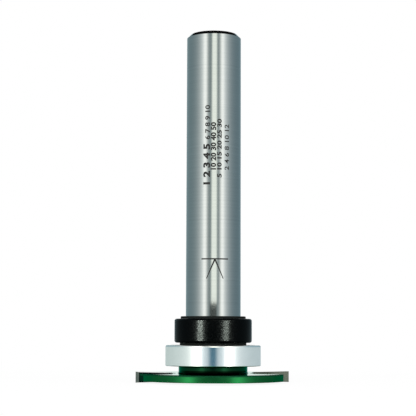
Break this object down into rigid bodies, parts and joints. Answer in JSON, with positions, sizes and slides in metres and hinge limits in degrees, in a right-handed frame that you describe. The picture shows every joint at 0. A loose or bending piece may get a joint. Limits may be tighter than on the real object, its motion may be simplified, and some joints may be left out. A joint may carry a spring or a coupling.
{
  "type": "weatherseal groove router bit",
  "caption": "Groove cutter with a straight shank, a guide bearing held by a collar, and a thin two-wing disc with carbide tips.",
  "frame": {"origin": "on the shank's axis, at the level of the carbide tips' lower corners, where the part stands", "axes": "+Z along the axis from the cutter head to the shank's free end, +X towards the right of the picture, +Y away from the viewer"},
  "size_m": [0.0354, 0.034, 0.0812],
  "materials": {
    "ground_steel": "fine ground shank, green coat on hub and disc",
    "carbide": "ground grey carbide",
    "bearing_steel": "ground bright",
    "shield_steel": "pressed sheet",
    "ball_steel": "polished",
    "cage_plastic": "moulded",
    "black_oxide": "satin black oxide"
  },
  "bodies": {
    "cutter": {"shank_body": "ground_steel", "carbide_tip_1": "carbide", "carbide_tip_2": "carbide", "bearing_inner_ring": "bearing_steel", "retaining_collar": "black_oxide", "collar_grub_screw": "black_oxide"},
    "outer_ring": {"bearing_outer_ring": "bearing_steel", "bearing_shield_upper": "shield_steel", "bearing_shield_lower": "shield_steel"},
    "cage": {"bearing_cage": "cage_plastic"},
    "ball_01": {"bearing_ball_01": "ball_steel"},
    "ball_02": {"bearing_ball_02": "ball_steel"},
    "ball_03": {"bearing_ball_03": "ball_steel"},
    "ball_04": {"bearing_ball_04": "ball_steel"},
    "ball_05": {"bearing_ball_05": "ball_steel"},
    "ball_06": {"bearing_ball_06": "ball_steel"},
    "ball_07": {"bearing_ball_07": "ball_steel"},
    "ball_08": {"bearing_ball_08": "ball_steel"},
    "ball_09": {"bearing_ball_09": "ball_steel"},
    "ball_10": {"bearing_ball_10": "ball_steel"},
    "ball_11": {"bearing_ball_11": "ball_steel"},
    "ball_12": {"bearing_ball_12": "ball_steel"}
  },
  "joints": [
    {"name": "outer_ring_spin", "type": "hinge", "parent": "cutter", "child": "outer_ring", "pos_m": [0, 0, 0.00616], "axis": [0, 0, 1], "continuous": true},
    {"name": "cage_orbit", "type": "hinge", "parent": "cutter", "child": "cage", "pos_m": [0, 0, 0.00616], "axis": [0, 0, 1], "continuous": true},
    {"name": "ball_01_spin", "type": "hinge", "parent": "cage", "child": "ball_01", "pos_m": [0.00868, 0, 0.00616], "axis": [0, 0, 1], "continuous": true},
    {"name": "ball_02_spin", "type": "hinge", "parent": "cage", "child": "ball_02", "pos_m": [0.00751, 0.00434, 0.00616], "axis": [0, 0, 1], "continuous": true},
    {"name": "ball_03_spin", "type": "hinge", "parent": "cage", "child": "ball_03", "pos_m": [0.00434, 0.00751, 0.00616], "axis": [0, 0, 1], "continuous": true},
    {"name": "ball_04_spin", "type": "hinge", "parent": "cage", "child": "ball_04", "pos_m": [0, 0.00868, 0.00616], "axis": [0, 0, 1], "continuous": true},
    {"name": "ball_05_spin", "type": "hinge", "parent": "cage", "child": "ball_05", "pos_m": [-0.00434, 0.00751, 0.00616], "axis": [0, 0, 1], "continuous": true},
    {"name": "ball_06_spin", "type": "hinge", "parent": "cage", "child": "ball_06", "pos_m": [-0.00751, 0.00434, 0.00616], "axis": [0, 0, 1], "continuous": true},
    {"name": "ball_07_spin", "type": "hinge", "parent": "cage", "child": "ball_07", "pos_m": [-0.00868, 0, 0.00616], "axis": [0, 0, 1], "continuous": true},
    {"name": "ball_08_spin", "type": "hinge", "parent": "cage", "child": "ball_08", "pos_m": [-0.00751, -0.00434, 0.00616], "axis": [0, 0, 1], "continuous": true},
    {"name": "ball_09_spin", "type": "hinge", "parent": "cage", "child": "ball_09", "pos_m": [-0.00434, -0.00751, 0.00616], "axis": [0, 0, 1], "continuous": true},
    {"name": "ball_10_spin", "type": "hinge", "parent": "cage", "child": "ball_10", "pos_m": [0, -0.00868, 0.00616], "axis": [0, 0, 1], "continuous": true},
    {"name": "ball_11_spin", "type": "hinge", "parent": "cage", "child": "ball_11", "pos_m": [0.00434, -0.00751, 0.00616], "axis": [0, 0, 1], "continuous": true},
    {"name": "ball_12_spin", "type": "hinge", "parent": "cage", "child": "ball_12", "pos_m": [0.00751, -0.00434, 0.00616], "axis": [0, 0, 1], "continuous": true}
  ],
  "couplings": [
    {"joint": "cage_orbit", "follows": "outer_ring_spin", "ratio": 0.56862},
    {"joint": "ball_01_spin", "follows": "outer_ring_spin", "ratio": 3.5748},
    {"joint": "ball_02_spin", "follows": "outer_ring_spin", "ratio": 3.5748},
    {"joint": "ball_03_spin", "follows": "outer_ring_spin", "ratio": 3.5748},
    {"joint": "ball_04_spin", "follows": "outer_ring_spin", "ratio": 3.5748},
    {"joint": "ball_05_spin", "follows": "outer_ring_spin", "ratio": 3.5748},
    {"joint": "ball_06_spin", "follows": "outer_ring_spin", "ratio": 3.5748},
    {"joint": "ball_07_spin", "follows": "outer_ring_spin", "ratio": 3.5748},
    {"joint": "ball_08_spin", "follows": "outer_ring_spin", "ratio": 3.5748},
    {"joint": "ball_09_spin", "follows": "outer_ring_spin", "ratio": 3.5748},
    {"joint": "ball_10_spin", "follows": "outer_ring_spin", "ratio": 3.5748},
    {"joint": "ball_11_spin", "follows": "outer_ring_spin", "ratio": 3.5748},
    {"joint": "ball_12_spin", "follows": "outer_ring_spin", "ratio": 3.5748}
  ]
}
